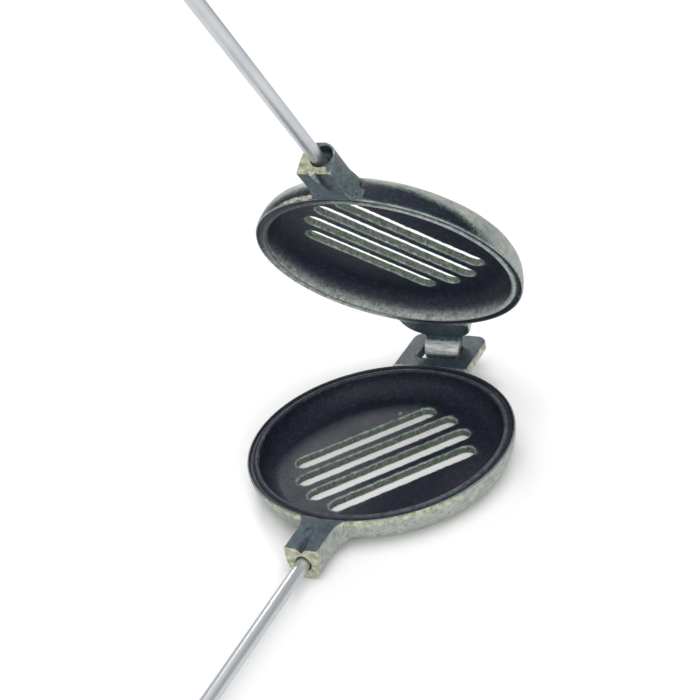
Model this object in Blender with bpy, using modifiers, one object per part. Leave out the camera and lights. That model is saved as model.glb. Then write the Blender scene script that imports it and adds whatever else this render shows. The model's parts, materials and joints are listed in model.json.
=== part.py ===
"""Hinged cast-iron burger griller (two-handled camp-fire grill iron).

Two round cast-iron halves meet on a level parting plane.  The lower half has a
hinge loop (a plate with a window) and the upper half a tongue that ends in a
J-shaped hook under the loop's far bar.  Opposite the hinge each half has a
socket with a plated steel rod, and each rod ends in a hardwood grip.  A flat
keeper link swings on the lower rod and snaps over the upper rod.

Frame: origin at the middle of the lower half's flat base, +Z up, the hinge
towards +Y, the rods and grips towards -Y, +X along the hinge axis.
The upper half is modelled closed and then swung open about the hinge axis.
"""
import math
import bpy
import bmesh
from mathutils import Vector, Matrix

MM = 0.001

# ---- driving dimensions, millimetres -------------------------------------
RIM_R = 65.0            # outer radius of both halves at the parting plane
HALF_DEPTH = 16.0       # base to parting plane, each half
GAP = 0.15              # each rim stands this far off the parting plane
BASE_R = 54.5           # radius of the flat base
FLOOR_T = 3.8           # thickness of the slotted floor
LAND_R = 60.6           # inner edge of the flat rim land
FLOOR_R = 50.0          # radius of the flat floor inside
SEGMENTS = 72

SLOT_W = 9.0            # slot width at the inner face
SLOT_DRAFT = 0.12       # extra half width at the outer face
SLOT_PITCH = 14.2
SLOT_ANGLE = 48.7       # from +X, degrees
SLOT_FIELD_R = 43.5     # slots end on this circle
SLOT_SHIFT_LID = -3.5   # upper slot field, across the slots

SOCKET_END = 86.0       # pan centre to the socket's end face
SOCKET_HW = 8.1         # half width of the socket
ROD_DROP = 8.0          # rod axis from the parting plane
LOWER_FLARE = ((-71.0, 8.25), (-68.0, 8.8), (-66.0, 9.6), (-64.5, 10.6), (-62.0, 11.9), (-54.0, 12.6))
UPPER_FLARE = ((-71.0, 8.1), (-68.0, 8.25), (-66.0, 8.6), (-64.5, 9.1), (-62.0, 9.9), (-54.0, 11.2))
BORE_R = 3.475
BORE_DEPTH = 17.0
MOUTH_LOWER = (3.8, 1.5)   # counterbore radius, depth
MOUTH_UPPER = (5.3, 5.0)
MOUTH_UPPER_OFF = (1.6, 0.8)   # the upper counterbore is cast off centre, to +X and away from the parting plane

ROD_R = 3.175           # 1/4 inch rod
ROD_IN = -70.5          # rod end in the socket
ROD_OUT = -575.0        # rod end in the grip

PIVOT_Y = 87.5          # hinge axis
PIVOT_DROP = 3.0        # hinge axis below the parting plane
PLATE_T = 5.0
PLATE_HW = 20.6         # half width of the hinge loop
WIN_HW = 11.0           # half width of the window
WIN_Y0 = 72.5
WIN_Y1 = 85.0
PLATE_Y1 = 97.5
HOOK_HW = 9.75
HOOK_RI = 3.5
HOOK_RO = 7.3
TONGUE_T = 6.0
OPEN_REST = 55.0        # opening angle at rest
OPEN_MAX = 100.0        # the tongue's end face meets the bar

GRIP_Y0 = -488.0
GRIP_Y1 = -613.0
GRIP_R = 11.0
GRIP_FLAT = 7.8         # half height between the two flats
FERRULE_R = 7.3
PIN_R = 1.2
PIN_Y = -515.0

KEEPER_Y = -462.0
KEEPER_T = 2.0

PZ = HALF_DEPTH                      # parting plane height
LOW_RIM = PZ - GAP
UP_RIM = PZ + GAP
PIVOT_Z = PZ - PIVOT_DROP
ROD_Z = PZ - ROD_DROP
ROD_Z_UP = PZ + ROD_DROP

# ---- scene ---------------------------------------------------------------
for ob in list(bpy.data.objects):
    bpy.data.objects.remove(ob, do_unlink=True)

parts = bpy.data.collections.new("burger_griller")
cutters = bpy.data.collections.new("cutters")
bpy.context.scene.collection.children.link(parts)
bpy.context.scene.collection.children.link(cutters)


def material(name, colour, rough, metal):
    m = bpy.data.materials.new(name)
    m.use_nodes = True
    b = m.node_tree.nodes["Principled BSDF"]
    b.inputs["Base Color"].default_value = (*colour, 1.0)
    b.inputs["Roughness"].default_value = rough
    b.inputs["Metallic"].default_value = metal
    return m


IRON = material("cast_iron", (0.06, 0.065, 0.065), 0.62, 0.7)
STEEL = material("plated_steel", (0.74, 0.75, 0.77), 0.18, 1.0)
ZINC = material("zinc_steel", (0.6, 0.6, 0.6), 0.35, 1.0)
WOOD = material("hardwood", (0.45, 0.27, 0.13), 0.5, 0.0)


def add_object(name, bm, mat, cutter=False, smooth=40.0):
    bmesh.ops.recalc_face_normals(bm, faces=bm.faces)
    me = bpy.data.meshes.new(name)
    bm.to_mesh(me)
    bm.free()
    me.materials.append(mat)
    me.shade_smooth()
    me.set_sharp_from_angle(angle=math.radians(smooth))
    ob = bpy.data.objects.new(name, me)
    if cutter:
        cutters.objects.link(ob)
        ob.hide_render = True
        ob.display_type = 'WIRE'
    else:
        parts.objects.link(ob)
    return ob


def lathe(name, profile, mat, cutter=False, steps=SEGMENTS):
    """Turned solid about Z.  The profile (r, z) runs up inside, over the rim,
    and down the outer side, from the axis to the axis."""
    bm = bmesh.new()
    vs = [bm.verts.new((r * MM, 0.0, z * MM)) for r, z in profile]
    for a, b in zip(vs, vs[1:]):
        bm.edges.new((a, b))
    me = bpy.data.meshes.new(name)
    bm.to_mesh(me)
    bm.free()
    me.materials.append(mat)
    ob = bpy.data.objects.new(name, me)
    (cutters if cutter else parts).objects.link(ob)
    if cutter:
        ob.hide_render = True
        ob.display_type = 'WIRE'
    sc = ob.modifiers.new("turn", 'SCREW')
    sc.axis = 'Z'
    sc.angle = math.tau
    sc.steps = steps
    sc.render_steps = steps
    sc.use_merge_vertices = True
    sc.merge_threshold = 0.00001
    sc.use_smooth_shade = True
    return ob


def prism(name, outline, lo, hi, mat, axis='Z', cutter=False):
    """Flat outline (mm) extruded between two levels along Z, X or Y."""
    place = {'Z': lambda a, b, c: (a, b, c),      # outline in XY
             'X': lambda a, b, c: (c, a, b),      # outline in YZ
             'Y': lambda a, b, c: (a, c, b)}[axis]   # outline in XZ
    bm = bmesh.new()
    vs = [bm.verts.new(Vector(place(a, b, lo)) * MM) for a, b in outline]
    f = bm.faces.new(vs)
    r = bmesh.ops.extrude_face_region(bm, geom=[f])
    d = Vector(place(0, 0, hi)) * MM - Vector(place(0, 0, lo)) * MM
    bmesh.ops.translate(bm, vec=d, verts=[v for v in r["geom"] if isinstance(v, bmesh.types.BMVert)])
    return add_object(name, bm, mat, cutter)


def loft(name, sections, mat, cutter=False):
    """Closed solid through sections, each a list of 3-D points (mm)."""
    bm = bmesh.new()
    rings = [[bm.verts.new(Vector(q) * MM) for q in s] for s in sections]
    n = len(rings[0])
    for a, b in zip(rings, rings[1:]):
        for i in range(n):
            bm.faces.new((a[i], a[(i + 1) % n], b[(i + 1) % n], b[i]))
    bm.faces.new(rings[0])
    bm.faces.new(rings[-1])
    return add_object(name, bm, mat, cutter)


def cylinder(name, r, p0, p1, mat, cutter=False, seg=28, r2=None):
    bm = bmesh.new()
    a, b = Vector(p0), Vector(p1)
    d = b - a
    bmesh.ops.create_cone(bm, cap_ends=True, segments=seg, radius1=r * MM,
                          radius2=(r if r2 is None else r2) * MM, depth=d.length * MM)
    rot = d.to_track_quat('Z', 'Y').to_matrix().to_4x4()
    bmesh.ops.transform(bm, matrix=Matrix.Translation((a + b) / 2 * MM) @ rot, verts=bm.verts)
    return add_object(name, bm, mat, cutter)


def boolean(ob, other, op):
    m = ob.modifiers.new(op.lower() + "_" + other.name, 'BOOLEAN')
    m.operation = op
    m.solver = 'EXACT'
    m.object = other
    return m


def cut(ob, *others):
    for o in others:
        boolean(ob, o, 'DIFFERENCE')


def join(ob, *others):
    for o in others:
        boolean(ob, o, 'UNION')


def arc(cx, cy, r, a0, a1, n):
    return [(cx + r * math.cos(math.radians(a0 + (a1 - a0) * i / n)),
             cy + r * math.sin(math.radians(a0 + (a1 - a0) * i / n))) for i in range(n + 1)]


# ---- shell profiles, measured from the parting plane outwards (depth >= 0)
def outer_profile(n=9):
    """Rim corner down the outer wall to the base corner: (r, depth)."""
    out = []
    for i in range(n + 1):
        t = math.pi / 2 * i / n
        out.append((BASE_R + (RIM_R - BASE_R) * math.cos(t), HALF_DEPTH * math.sin(t)))
    return out


def inner_profile(n=7):
    """Floor edge up the inner wall to the rim land: (r, depth)."""
    d0 = HALF_DEPTH - FLOOR_T
    lip = 59.2
    out = []
    for i in range(n + 1):
        t = math.pi / 2 * i / n
        out.append((FLOOR_R + (lip - FLOOR_R) * math.sin(t),
                    1.6 + (d0 - 1.6) * math.cos(t)))
    out.append((LAND_R, 1.2))
    out.append((LAND_R, -3.0))
    return out


def shell(tag, up):
    """Outer turned solid and the cavity cutter for one half."""
    s = 1.0 if up else -1.0
    rim = UP_RIM if up else LOW_RIM
    z = lambda d: PZ + s * d
    outer = [(r, z(d)) for r, d in outer_profile()]
    outer[0] = (RIM_R, rim)
    prof = [(0.0, rim)] + outer + [(0.0, z(HALF_DEPTH))]
    if up:
        prof = prof[::-1]
    body = lathe(tag, prof, IRON)
    inner = [(r, z(d)) for r, d in inner_profile()]
    prof = [(0.0, inner[-1][1])] + inner[::-1] + [(0.0, inner[0][1])]
    if up:
        prof = prof[::-1]
    cavity = lathe(tag + "_cavity", prof, IRON, cutter=True)
    return body, cavity


def stadium(cu, hw, half, angle, n=8):
    """Round-ended slot outline at cross position cu."""
    a = math.radians(angle)
    v = (math.cos(a), math.sin(a))
    w = (math.sin(a), -math.cos(a))
    out = []
    for sgn in (1, -1):
        for i in range(n + 1):
            t = math.pi * i / n
            along = sgn * (half - hw + hw * math.sin(t))
            across = cu + sgn * hw * math.cos(t)
            out.append((along * v[0] + across * w[0], along * v[1] + across * w[1]))
    return out


def slot_cutters(tag, up, shift):
    s = 1.0 if up else -1.0
    z_in = PZ + s * (HALF_DEPTH - FLOOR_T)
    z_out = PZ + s * HALF_DEPTH
    slope = SLOT_DRAFT / FLOOR_T
    cuts = []
    for k in range(4):
        cu = shift + SLOT_PITCH * (k - 1.5)
        half = math.sqrt(SLOT_FIELD_R ** 2 - cu ** 2)
        secs = []
        for d in (-1.5, FLOOR_T + 1.5):
            e = slope * d
            zz = z_in + s * d
            secs.append([(x, y, zz) for x, y in stadium(cu, SLOT_W / 2 + e, half + e, SLOT_ANGLE)])
        cuts.append(loft("%s_slot_%d" % (tag, k + 1), secs, IRON, cutter=True))
    return cuts


def socket(tag, up):
    """U-section socket, flared where it meets the wall."""
    s = 1.0 if up else -1.0
    rim = UP_RIM if up else LOW_RIM
    secs = []
    flare = UPPER_FLARE if up else LOWER_FLARE
    for y, hw in ((-SOCKET_END, 8.1), (-76.0, 8.1)) + flare:
        zc = PZ + s * ROD_DROP
        pts = [(-hw, rim)]
        n = 10
        for i in range(n + 1):
            t = math.pi * i / n
            pts.append((-hw * math.cos(t), zc + s * (HALF_DEPTH - ROD_DROP) * 0.985 * math.sin(t)))
        pts.append((hw, rim))
        secs.append([(x, y, zz) for x, zz in pts])
    return loft(tag + "_socket", secs, IRON, cutter=True)


def bore(tag, up):
    z = ROD_Z_UP if up else ROD_Z
    r, depth = MOUTH_UPPER if up else MOUTH_LOWER
    e = -SOCKET_END
    a = cylinder(tag + "_bore", BORE_R, (0, e - 3, z), (0, e + BORE_DEPTH, z), IRON, True)
    dx, dz = MOUTH_UPPER_OFF if up else (0.0, 0.0)
    b = cylinder(tag + "_mouth", r, (dx, e - 3, z + dz), (dx, e + depth, z + dz), IRON, True)
    return a, b


def vee(tag, top, depth, hw, y1, lift):
    """Tapered V along the parting face of the socket, deepest at its end."""
    y0 = -SOCKET_END - (2.0 if lift > 0 else 0.0)
    secs = [[(-hw, y0, top + lift), (0, y0, top - depth), (hw, y0, top + lift)],
            [(-hw * 0.25, y1, top + lift), (0, y1, top - 0.02), (hw * 0.25, y1, top + lift)]]
    return loft(tag, secs, IRON, cutter=True)


# ---- lower half ----------------------------------------------------------
lower, cavity_lo = shell("lower_pan", False)
plate_z0 = PIVOT_Z - PLATE_T / 2
plate_z1 = PIVOT_Z + PLATE_T / 2
cr = 6.5
outline = ([(-PLATE_HW, 54.0), (PLATE_HW, 54.0)]
           + arc(PLATE_HW - cr, PLATE_Y1 - cr, cr, 0, 90, 6)
           + arc(-PLATE_HW + cr, PLATE_Y1 - cr, cr, 90, 180, 6))
plate = prism("hinge_plate", outline, plate_z0, plate_z1, IRON, 'Z', True)
wr = 1.6
window = prism("hinge_window",
               arc(-WIN_HW + wr, WIN_Y0 + wr, wr, 180, 270, 3) + arc(WIN_HW - wr, WIN_Y0 + wr, wr, 270, 360, 3)
               + arc(WIN_HW - wr, WIN_Y1 + 1.2 - wr, wr, 0, 90, 3) + arc(-WIN_HW + wr, WIN_Y1 + 1.2 - wr, wr, 90, 180, 3),
               plate_z0 - 2, plate_z1 + 2, IRON, 'Z', True)
# the bar's inner edge is rounded where the hook bears on it
nose_r = 1.9
nose = prism("hinge_nose",
             [(WIN_Y1 + 3.0, PIVOT_Z - PLATE_T / 2 + 0.01)]
             + [(p[0], p[1]) for p in arc(WIN_Y1 + nose_r, PIVOT_Z - PLATE_T / 2 + 0.01 + nose_r, nose_r, 270, 180, 4)]
             + [(p[0], p[1]) for p in arc(WIN_Y1 + nose_r, PIVOT_Z + PLATE_T / 2 - 0.01 - nose_r, nose_r, 180, 90, 4)]
             + [(WIN_Y1 + 3.0, PIVOT_Z + PLATE_T / 2 - 0.01)],
             -WIN_HW - 0.8, WIN_HW + 0.8, IRON, 'X', True)
sock_lo = socket("lower", False)
join(lower, plate)
cut(lower, window)
join(lower, nose, sock_lo)
cut(lower, cavity_lo, *slot_cutters("lower", False, 0.0))
cut(lower, *bore("lower", False))
cut(lower, vee("lower_vee", LOW_RIM, 2.5, 3.1, -72.0, 0.4))

# ---- upper half, modelled closed ------------------------------------------
upper, cavity_up = shell("upper_pan", True)
tz0, tz1 = UP_RIM, UP_RIM + TONGUE_T
base = []
for y, hw in ((54.0, 19.0), (68.0, 18.6), (73.0, 17.2), (76.0, 14.5), (78.0, 11.2), (79.6, HOOK_HW), (82.5, HOOK_HW)):
    base.append((hw, y))
tongue = prism("tongue", base + [(-x, y) for x, y in base[::-1]], tz0, tz1, IRON, 'Z', True)
# hook section in the YZ plane, about the hinge axis
face_top = -(2.85 + 0.1736 * (tz1 - PIVOT_Z)) / 0.9848
hook = [(PIVOT_Y + face_top, tz1 - 0.01), (PIVOT_Y + face_top - 3.4, tz1 - 0.01)]
hook += [(PIVOT_Y - HOOK_RO, tz0 + 1.0)]
hook += arc(PIVOT_Y, PIVOT_Z, HOOK_RO, 180, 298, 12)
tip = arc(PIVOT_Y, PIVOT_Z, (HOOK_RO + HOOK_RI) / 2, 298, 304, 1)[1]
hook += [tip]
hook += arc(PIVOT_Y, PIVOT_Z, HOOK_RI, 298, 180, 12)
hook_ob = prism("hook", hook, -HOOK_HW, HOOK_HW, IRON, 'X', True)
sock_up = socket("upper", True)
# the part of the tongue that would foul the bar is left off
join(upper, tongue, sock_up, hook_ob)
cut(upper, cavity_up, *slot_cutters("upper", True, SLOT_SHIFT_LID))
cut(upper, *bore("upper", True))
join(upper, vee("upper_vee", UP_RIM, 2.2, 2.55, -72.5, 0.02))


# ---- rods, grips, ferrules, pins ------------------------------------------
def handle(tag, z):
    rod = cylinder(tag + "_rod", ROD_R, (0, ROD_OUT, z), (0, ROD_IN, z), STEEL, seg=24)
    hole = cylinder(tag + "_pin_hole", PIN_R + 0.3, (-14, PIN_Y, z), (14, PIN_Y, z), STEEL, True, 16)
    cut(rod, hole)

    # turned grip about its own axis, then laid along Y and flattened
    L = GRIP_Y0 - GRIP_Y1
    sp = 6.3
    prof = [(0.0, 0.0), (sp, 0.0), (sp, -14.0), (7.4, -14.2), (9.2, -20.0), (10.3, -32.0), (GRIP_R, -60.0),
            (GRIP_R, -88.0), (10.4, -106.0), (9.2, -117.0), (6.6, -L + 1.6), (3.5, -L), (0.0, -L)]
    grip = lathe(tag + "_grip", prof, WOOD, steps=32)
    grip.rotation_euler = (-math.pi / 2, 0, 0)
    grip.location = (0, GRIP_Y0 * MM, z * MM)
    # flats: cutters above and below
    for nm, sg in (("top", 1), ("under", -1)):
        lo, hi = sorted((z + sg * GRIP_FLAT, z + sg * (GRIP_FLAT + 6)))
        flat = prism("%s_flat_%s" % (tag, nm), [(-15, GRIP_Y1 - 2), (15, GRIP_Y1 - 2), (15, GRIP_Y0 + 2), (-15, GRIP_Y0 + 2)],
                     lo, hi, WOOD, 'Z', True)
        cut(grip, flat)
    gb = cylinder(tag + "_grip_bore", ROD_R + 0.3, (0, ROD_OUT - 1.0, z), (0, GRIP_Y0 + 3, z), WOOD, True, 24)
    cut(grip, gb, hole)

    fer = lathe(tag + "_ferrule",
                [(ROD_R + 0.3, 0.3), (sp + 0.3, 0.3), (sp + 0.3, -13.6), (FERRULE_R, -13.6), (FERRULE_R, 0.6),
                 (FERRULE_R - 0.8, 1.6), (ROD_R + 0.3, 1.6), (ROD_R + 0.3, 0.3)][::-1], ZINC, steps=32)
    fer.rotation_euler = (-math.pi / 2, 0, 0)
    fer.location = (0, GRIP_Y0 * MM, z * MM)

    pin = cylinder(tag + "_grip_pin", PIN_R, (-10.3, PIN_Y, z), (10.3, PIN_Y, z), ZINC, seg=16)
    return [rod, grip, fer, pin]


low_set = handle("lower", ROD_Z)
up_set = handle("upper", ROD_Z_UP)

# ---- keeper link on the lower rod -----------------------------------------
# drawn latched (upright), about the lower rod's axis, then swung out to +X
span = ROD_Z_UP - ROD_Z
kr, kw = ROD_R + 0.3, 6.6
ko = arc(0, 0, kw, 180, 360, 12)
ko += [(kw, span - 5.2)] + [(kw - 0.6, span - kr - 0.05), (0.0, span - kr - 0.05)]
ko += arc(0, span, kr, 270, 90, 10)[1:]
ko += [(kw - 0.6, span + kr + 0.05), (kw, span + kr + 0.65), (kw - 0.8, span + 6.6), (3.0, span + 7.4)]
ko += [(-3.0, span + 7.4), (-kw + 0.6, span + 5.6), (-kw, span + 2.0)]
ko = [(-x, z) for x, z in ko]      # the notch opens towards -X, the way the link swings up
keeper = prism("keeper_link", ko, KEEPER_Y - KEEPER_T / 2, KEEPER_Y + KEEPER_T / 2, ZINC, 'Y')
khole = cylinder("keeper_hole", kr, (0, KEEPER_Y - 4, 0), (0, KEEPER_Y + 4, 0), ZINC, True, 24)
cut(keeper, khole)
collars = []
for nm, y0, y1 in (("keeper_collar_front", KEEPER_Y + KEEPER_T / 2 + 0.3, KEEPER_Y + KEEPER_T / 2 + 4.3),
                   ("keeper_collar_rear", KEEPER_Y - KEEPER_T / 2 - 4.3, KEEPER_Y - KEEPER_T / 2 - 0.3)):
    c = lathe(nm, [(ROD_R + 0.3, 0.0), (5.2, 0.0), (5.6, 0.5), (5.6, 3.5), (5.2, 4.0), (ROD_R + 0.3, 4.0),
                   (ROD_R + 0.3, 0.0)][::-1], ZINC, steps=28)
    c.rotation_euler = (-math.pi / 2, 0, 0)
    c.location = (0, y0 * MM, ROD_Z * MM)
    collars.append(c)

# ---- joints as empties ----------------------------------------------------
hinge = bpy.data.objects.new("lid_hinge_axis", None)
hinge.location = (0, PIVOT_Y * MM, PIVOT_Z * MM)
parts.objects.link(hinge)
swing = bpy.data.objects.new("keeper_axis", None)
swing.location = (0, 0, ROD_Z * MM)
parts.objects.link(swing)
bpy.context.view_layer.update()

lid_back = Matrix.Translation((0, -PIVOT_Y * MM, -PIVOT_Z * MM))
upper_cutters = [o for o in cutters.objects if o.name.startswith("upper") or o.name in ("tongue", "hook")]
for ob in [upper] + up_set + upper_cutters:
    ob.parent = hinge
    ob.matrix_parent_inverse = lid_back
hinge.rotation_euler = (-math.radians(OPEN_REST), 0, 0)
for ob in (keeper, khole):
    ob.parent = swing
swing.rotation_euler = (0, math.radians(90.0), 0)
bpy.context.view_layer.update()
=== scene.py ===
"""Looks for the hinged cast-iron burger griller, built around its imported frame."""

import json
import math

import bpy
import bmesh
import numpy as np
from mathutils import Vector, Matrix, noise


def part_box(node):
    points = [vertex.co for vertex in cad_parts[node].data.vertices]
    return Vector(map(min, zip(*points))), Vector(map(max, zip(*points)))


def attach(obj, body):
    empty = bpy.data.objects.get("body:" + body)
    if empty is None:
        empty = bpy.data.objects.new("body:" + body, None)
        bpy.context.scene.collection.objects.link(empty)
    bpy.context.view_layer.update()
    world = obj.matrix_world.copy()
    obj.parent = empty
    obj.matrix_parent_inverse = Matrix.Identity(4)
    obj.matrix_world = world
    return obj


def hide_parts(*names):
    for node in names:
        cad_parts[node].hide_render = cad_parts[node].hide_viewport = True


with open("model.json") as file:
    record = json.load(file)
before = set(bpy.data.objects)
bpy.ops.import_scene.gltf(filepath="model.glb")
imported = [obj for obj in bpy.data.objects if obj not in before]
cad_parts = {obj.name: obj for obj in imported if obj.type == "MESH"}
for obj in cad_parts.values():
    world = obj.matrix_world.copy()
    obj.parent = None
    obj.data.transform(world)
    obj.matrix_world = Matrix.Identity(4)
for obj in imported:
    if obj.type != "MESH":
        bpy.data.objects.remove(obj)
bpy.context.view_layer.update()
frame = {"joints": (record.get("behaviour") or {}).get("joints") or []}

MM = 0.001

# ---------------------------------------------------------------- sizes
# read from the frame (metres to millimetres), the rest are the part's own
lo_pan, hi_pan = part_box("lower_pan")
RIM_R = (hi_pan.x - lo_pan.x) / 2 / MM            # 65
SOCKET_END = -lo_pan.y / MM                       # 86
PLATE_Y1 = hi_pan.y / MM                          # 97.5
joint = {j["name"]: j for j in frame["joints"]}
PIVOT_Y = joint["lid_hinge"]["pos_m"][1] / MM     # 87.5
PIVOT_Z = joint["lid_hinge"]["pos_m"][2] / MM     # 13
rod_lo, rod_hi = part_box("lower_rod")
ROD_R = (rod_hi.x - rod_lo.x) / 2 / MM
ROD_Z = (rod_hi.z + rod_lo.z) / 2 / MM            # 8
PZ = 2 * ROD_Z                                    # parting plane, 16
ROD_Z_UP = PZ + ROD_Z
HALF_DEPTH = PZ
OPEN_REST = -joint["lid_hinge"]["range_deg"][0]   # 55 degrees at rest
GAP = 0.15
LOW_RIM, UP_RIM = PZ - GAP, PZ + GAP
BASE_R = 54.5
FLOOR_T = 3.8
FLOOR_R = 50.0
SLOT_W, SLOT_DRAFT, SLOT_PITCH, SLOT_ANGLE = 9.0, 0.12, 14.2, 48.7
SLOT_FIELD_R = 43.5
SLOT_SHIFT_LID = -3.5
ROD_DROP = ROD_Z
BORE_R, BORE_DEPTH = 3.475, 17.0
MOUTH_LOWER, MOUTH_UPPER = (3.8, 1.5), (5.3, 5.0, 1.6, 0.8)   # radius, depth, and the upper one's offset to +X and up
ROD_IN = rod_hi.y / MM
ROD_OUT = rod_lo.y / MM
PLATE_T, PLATE_HW, WIN_HW, WIN_Y0, WIN_Y1 = 5.0, 20.6, 11.0, 72.5, 85.0
HOOK_HW, HOOK_RI, HOOK_RO, TONGUE_T = 9.75, 3.5, 7.3, 6.0
grip_lo, grip_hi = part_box("lower_grip")
GRIP_Y0, GRIP_Y1 = grip_hi.y / MM, grip_lo.y / MM
GRIP_R = (grip_hi.x - grip_lo.x) / 2 / MM
GRIP_FLAT = (grip_hi.z - grip_lo.z) / 2 / MM
PIN_Y = (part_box("lower_grip_pin")[0].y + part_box("lower_grip_pin")[1].y) / 2 / MM
FERRULE_R = 7.3
KEEPER_Y = joint["keeper_swing"]["pos_m"][1] / MM

LID = (Matrix.Translation((0, PIVOT_Y * MM, PIVOT_Z * MM))
       @ Matrix.Rotation(-math.radians(OPEN_REST), 4, 'X')
       @ Matrix.Translation((0, -PIVOT_Y * MM, -PIVOT_Z * MM)))

work = bpy.data.collections.new("work")
bpy.context.scene.collection.children.link(work)
shown = bpy.data.collections.new("looks")
bpy.context.scene.collection.children.link(shown)


# ---------------------------------------------------------------- mesh helpers
def make(name, bm, col=work):
    bmesh.ops.recalc_face_normals(bm, faces=bm.faces)
    me = bpy.data.meshes.new(name)
    bm.to_mesh(me)
    bm.free()
    ob = bpy.data.objects.new(name, me)
    col.objects.link(ob)
    return ob


def bake(ob):
    """Applies every modifier of ob to its mesh."""
    dg = bpy.context.evaluated_depsgraph_get()
    dg.update()
    me = bpy.data.meshes.new_from_object(ob.evaluated_get(dg))
    ob.modifiers.clear()
    ob.data = me
    return ob


def drop(*obs):
    for o in obs:
        bpy.data.objects.remove(o, do_unlink=True)


def combine(ob, ops):
    """ops: (other, 'UNION' or 'DIFFERENCE') in order, applied one after another."""
    for other, op in ops:
        m = ob.modifiers.new("b", 'BOOLEAN')
        m.operation = op
        m.solver = 'EXACT'
        m.object = other
        bake(ob)
        drop(other)
    return ob


def turn(name, profile, n=160, axis='Z', at=(0, 0, 0)):
    """Closed turned solid.  profile (r, z); r = 0 at an end is a pole."""
    bm = bmesh.new()
    rings = []
    for r, z in profile:
        if r < 1e-6:
            rings.append([bm.verts.new((0, 0, z * MM))])
        else:
            rings.append([bm.verts.new((r * MM * math.cos(math.tau * i / n), r * MM * math.sin(math.tau * i / n), z * MM))
                          for i in range(n)])
    closed = profile[0][0] > 1e-6
    pairs = list(zip(rings, rings[1:])) + ([(rings[-1], rings[0])] if closed else [])
    for a, b in pairs:
        for i in range(n):
            j = (i + 1) % n
            if len(a) == 1:
                bm.faces.new((a[0], b[j], b[i]))
            elif len(b) == 1:
                bm.faces.new((a[i], a[j], b[0]))
            else:
                bm.faces.new((a[i], a[j], b[j], b[i]))
    if axis == 'Y':
        bmesh.ops.transform(bm, matrix=Matrix.Rotation(-math.pi / 2, 4, 'X'), verts=bm.verts)
    bmesh.ops.translate(bm, vec=Vector(at) * MM, verts=bm.verts)
    return make(name, bm)


def prism(name, outline, lo, hi, axis='Z', bevel=0.0, segs=2):
    place = {'Z': lambda a, b, c: (a, b, c), 'X': lambda a, b, c: (c, a, b), 'Y': lambda a, b, c: (a, c, b)}[axis]
    bm = bmesh.new()
    vs = [bm.verts.new(Vector(place(a, b, lo)) * MM) for a, b in outline]
    f = bm.faces.new(vs)
    r = bmesh.ops.extrude_face_region(bm, geom=[f])
    d = Vector(place(0, 0, hi)) * MM - Vector(place(0, 0, lo)) * MM
    bmesh.ops.translate(bm, vec=d, verts=[v for v in r["geom"] if isinstance(v, bmesh.types.BMVert)])
    ob = make(name, bm)
    if bevel:
        m = ob.modifiers.new("bevel", 'BEVEL')
        m.width = bevel * MM
        m.segments = segs
        m.limit_method = 'ANGLE'
        m.angle_limit = math.radians(35)
        bake(ob)
    return ob


def loft(name, sections):
    bm = bmesh.new()
    rings = [[bm.verts.new(Vector(q) * MM) for q in s] for s in sections]
    n = len(rings[0])
    for a, b in zip(rings, rings[1:]):
        for i in range(n):
            bm.faces.new((a[i], a[(i + 1) % n], b[(i + 1) % n], b[i]))
    bm.faces.new(rings[0])
    bm.faces.new(rings[-1])
    return make(name, bm)


def rod_solid(name, r, p0, p1, seg=40):
    bm = bmesh.new()
    a, b = Vector(p0), Vector(p1)
    d = b - a
    bmesh.ops.create_cone(bm, cap_ends=True, segments=seg, radius1=r * MM, radius2=r * MM, depth=d.length * MM)
    bmesh.ops.transform(bm, matrix=Matrix.Translation((a + b) / 2 * MM) @ d.to_track_quat('Z', 'Y').to_matrix().to_4x4(),
                        verts=bm.verts)
    return make(name, bm)


def arc(cx, cy, r, a0, a1, n):
    return [(cx + r * math.cos(math.radians(a0 + (a1 - a0) * i / n)),
             cy + r * math.sin(math.radians(a0 + (a1 - a0) * i / n))) for i in range(n + 1)]


def smoothstep(x, a, b):
    t = np.clip((x - a) / (b - a), 0, 1)
    return t * t * (3 - 2 * t)


# ---------------------------------------------------------------- castings
def outer_profile(n=30):
    return [(BASE_R + (RIM_R - BASE_R) * math.cos(math.pi / 2 * i / n),
             HALF_DEPTH * math.sin(math.pi / 2 * i / n)) for i in range(n + 1)]


def inner_profile(n=22):
    """Floor edge, wall, small lip, rim land with its shallow rabbet, outer rim."""
    d0 = HALF_DEPTH - FLOOR_T
    lip = 59.2
    out = [(FLOOR_R + (lip - FLOOR_R) * math.sin(math.pi / 2 * i / n), 1.2 + (d0 - 1.2) * math.cos(math.pi / 2 * i / n))
           for i in range(n + 1)]
    out += [(59.35, 0.85), (59.7, 0.42), (60.3, 0.2), (61.0, 0.24), (61.5, 0.55), (61.75, 1.0), (62.0, 1.3), (63.7, 1.3), (64.0, 0.9), (64.25, -3.0)]
    return out


def stadium(cu, hw, half, angle, n=16):
    a = math.radians(angle)
    v = (math.cos(a), math.sin(a))
    w = (math.sin(a), -math.cos(a))
    out = []
    for sgn in (1, -1):
        for i in range(n + 1):
            t = math.pi * i / n
            along = sgn * (half - hw + hw * math.sin(t))
            across = cu + sgn * hw * math.cos(t)
            out.append((along * v[0] + across * w[0], along * v[1] + across * w[1]))
    return out


def slot_cutters(up, shift):
    s = 1.0 if up else -1.0
    z_in = PZ + s * (HALF_DEPTH - FLOOR_T)
    cuts = []
    for k in range(4):
        cu = shift + SLOT_PITCH * (k - 1.5)
        half = math.sqrt(SLOT_FIELD_R ** 2 - cu ** 2)
        secs = []
        for d in (-1.5, FLOOR_T + 1.5):
            e = SLOT_DRAFT / FLOOR_T * d
            secs.append([(x, y, z_in + s * d) for x, y in stadium(cu, SLOT_W / 2 + e, half + e, SLOT_ANGLE)])
        cuts.append(loft("slot", secs))
    return cuts


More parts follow.
